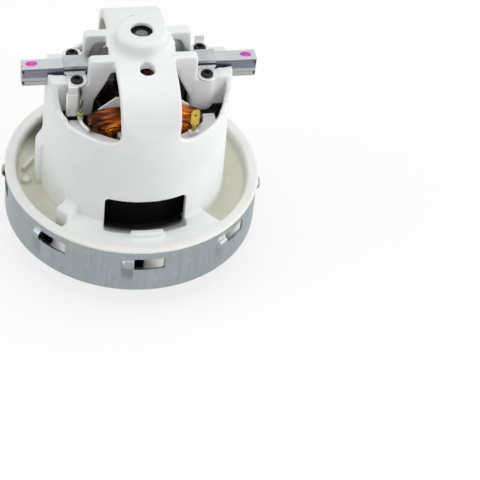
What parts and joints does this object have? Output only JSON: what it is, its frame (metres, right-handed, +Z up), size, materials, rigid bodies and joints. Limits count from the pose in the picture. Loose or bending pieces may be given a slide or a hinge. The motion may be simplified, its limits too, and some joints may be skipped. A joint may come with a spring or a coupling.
{
  "type": "vacuum cleaner motor",
  "caption": "Upright vacuum motor: white moulded bracket with brush tubes, straps and copper field coils over a zinc-plated fan cover with catch windows and a conical inlet face.",
  "frame": {"origin": "on the shaft axis at the plane the inlet lip rests on", "axes": "+Z up the shaft from the inlet eye to the hub, +X along the right-hand brush, -Y towards the front pillar"},
  "size_m": [0.133, 0.133, 0.1265],
  "materials": {
    "zinc_sheet": "zinc-plated deep-drawn steel sheet, satin with draw marks",
    "white_moulding": "white glass-filled moulding, fine matt",
    "black_moulding": "black moulding, matt",
    "lamination": "stacked electrical steel, varnished",
    "plain_steel": "bright steel",
    "black_screw": "black zinc-flake screws",
    "paper": "slot insulation paper",
    "copper_wire": "enamelled copper wire",
    "brass_tag": "bright brass",
    "tube_metal": "drawn light metal, satin",
    "carbon": "carbon brush, dull",
    "sleeve": "white insulating sleeve",
    "lead_cover": "twisted insulated lead",
    "bead": "yellow-green crimp bead",
    "rubber": "black rubber",
    "fan_sheet": "pressed light metal sheet",
    "resin": "moulded resin"
  },
  "bodies": {
    "housing": {"fan_cover": "zinc_sheet", "motor_bracket": "white_moulding", "guide_plate": "black_moulding", "baffle_front": "black_moulding", "baffle_back": "black_moulding", "field_core": "lamination", "field_screws": "plain_steel", "slot_liners": "paper", "coil_former_front": "white_moulding", "coil_former_back": "white_moulding", "field_coil_front": "copper_wire", "field_coil_back": "copper_wire", "field_winding_front": "copper_wire", "field_winding_back": "copper_wire", "field_tags": "brass_tag", "brush_tube_left": "tube_metal", "brush_tube_right": "tube_metal", "brush_strap_left": "tube_metal", "brush_strap_right": "tube_metal", "strap_screws": "black_screw", "brush_spring_left": "plain_steel", "brush_spring_right": "plain_steel", "lead_sleeve": "sleeve", "brush_lead_left": "lead_cover", "brush_lead_right": "lead_cover", "lead_beads": "bead", "bearing_boot": "rubber", "bearing_top_seal": "rubber", "bearing_top_outer": "plain_steel", "bearing_low_outer": "plain_steel", "bearing_retainer": "zinc_sheet", "retainer_screws": "plain_steel", "preload_washer": "plain_steel"},
    "rotor": {"shaft": "plain_steel", "armature_core": "lamination", "armature_winding": "copper_wire", "commutator_hub": "resin", "commutator": "copper_wire", "bearing_top_inner": "plain_steel", "bearing_low_inner": "plain_steel", "fan_spacer": "plain_steel", "fan_washer_inner": "plain_steel", "fan_back_plate": "fan_sheet", "fan_blades": "fan_sheet", "fan_front_plate": "fan_sheet", "fan_washer_outer": "plain_steel", "fan_nut": "plain_steel"},
    "balls_top": {"ball_set_top": "plain_steel"},
    "balls_low": {"ball_set_low": "plain_steel"},
    "brush_left": {"carbon_brush_left": "carbon"},
    "brush_right": {"carbon_brush_right": "carbon"}
  },
  "joints": [
    {"name": "rotor_spin", "type": "hinge", "parent": "housing", "child": "rotor", "pos_m": [0, 0, 0.07], "axis": [0, 0, 1], "continuous": true},
    {"name": "balls_top_spin", "type": "hinge", "parent": "housing", "child": "balls_top", "pos_m": [0, 0, 0.12], "axis": [0, 0, 1], "continuous": true},
    {"name": "balls_low_spin", "type": "hinge", "parent": "housing", "child": "balls_low", "pos_m": [0, 0, 0.033], "axis": [0, 0, 1], "continuous": true},
    {"name": "brush_left_slide", "type": "slide", "parent": "housing", "child": "brush_left", "axis": [-1, 0, 0], "range_m": [0, 0.005], "stiffness_N_per_m": 150, "springref_m": -0.02, "deforming": ["brush_spring_left"]},
    {"name": "brush_right_slide", "type": "slide", "parent": "housing", "child": "brush_right", "axis": [1, 0, 0], "range_m": [0, 0.005], "stiffness_N_per_m": 150, "springref_m": -0.02, "deforming": ["brush_spring_right"]}
  ],
  "couplings": [
    {"joint": "balls_top_spin", "follows": "rotor_spin", "ratio": 0.3962},
    {"joint": "balls_low_spin", "follows": "rotor_spin", "ratio": 0.41}
  ]
}
